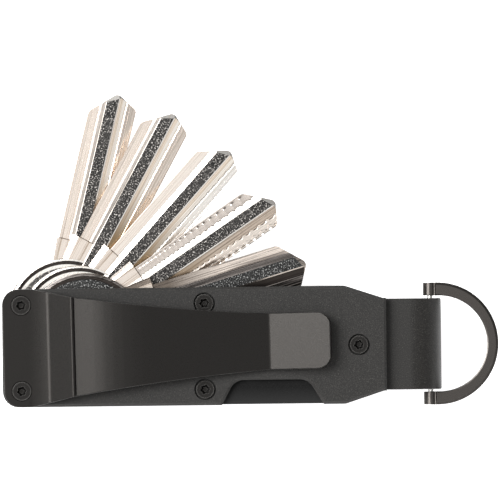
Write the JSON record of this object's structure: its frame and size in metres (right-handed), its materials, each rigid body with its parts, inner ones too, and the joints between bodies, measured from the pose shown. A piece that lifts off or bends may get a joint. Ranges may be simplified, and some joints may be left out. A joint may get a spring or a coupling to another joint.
{
  "type": "key organizer",
  "caption": "Slim metal key organizer: keys fan out on a pivot between two case plates, with a pocket clip on the front and a swinging D-ring at the end.",
  "frame": {"origin": "middle of the back plate's flat outer face", "axes": "+X along the case towards the D-ring, +Y towards the long side where the keys swing out, +Z from the back plate to the pocket clip"},
  "size_m": [0.1015, 0.0641, 0.0234],
  "materials": {
    "anodised": "matte",
    "liner": "matte",
    "block": "matte",
    "clip": "satin",
    "screw": "satin",
    "steel": "satin",
    "ring": "satin",
    "key": "satin"
  },
  "bodies": {
    "case": {"back_plate": "anodised", "front_plate": "anodised", "back_liner": "liner", "front_liner": "liner", "hinge_block": "block", "pocket_clip": "clip", "clip_screw_upper": "screw", "clip_screw_lower": "screw", "front_screw_middle_upper": "screw", "front_screw_middle_lower": "screw", "front_screw_end": "screw", "front_screw_pivot": "screw", "back_screw_corner_upper": "screw", "back_screw_corner_lower": "screw", "back_screw_middle_upper": "screw", "back_screw_middle_lower": "screw", "back_screw_end": "screw", "back_screw_pivot": "screw", "standoff_corner": "steel", "standoff_middle": "steel", "pivot_barrel": "steel", "pivot_washer_1": "steel", "pivot_washer_2": "steel", "pivot_washer_3": "steel", "pivot_washer_4": "steel", "pivot_washer_5": "steel", "pivot_washer_6": "steel", "ring_pin": "steel"},
    "first_key": {"key_1": "key"},
    "second_key": {"key_2": "key"},
    "third_key": {"key_3": "key"},
    "fourth_key": {"key_4": "key"},
    "fifth_key": {"key_5": "key"},
    "ring": {"d_ring": "ring"}
  },
  "joints": [
    {"name": "first_key_swing", "type": "hinge", "parent": "case", "child": "first_key", "pos_m": [-0.0275, 0, 0.0043], "axis": [0, 0, 1], "range_deg": [-76.2, 28.8]},
    {"name": "second_key_swing", "type": "hinge", "parent": "case", "child": "second_key", "pos_m": [-0.0275, 0, 0.0069], "axis": [0, 0, 1], "range_deg": [-61.5, 43.5]},
    {"name": "third_key_swing", "type": "hinge", "parent": "case", "child": "third_key", "pos_m": [-0.0275, 0, 0.0095], "axis": [0, 0, 1], "range_deg": [-48.1, 56.9]},
    {"name": "fourth_key_swing", "type": "hinge", "parent": "case", "child": "fourth_key", "pos_m": [-0.0275, 0, 0.0121], "axis": [0, 0, 1], "range_deg": [-34.1, 70.9]},
    {"name": "fifth_key_swing", "type": "hinge", "parent": "case", "child": "fifth_key", "pos_m": [-0.0275, 0, 0.0147], "axis": [0, 0, 1], "range_deg": [-16.8, 88.2]},
    {"name": "ring_swing", "type": "hinge", "parent": "case", "child": "ring", "pos_m": [0.0483, 0, 0.0095], "axis": [0, 1, 0], "range_deg": [-80, 80]}
  ]
}
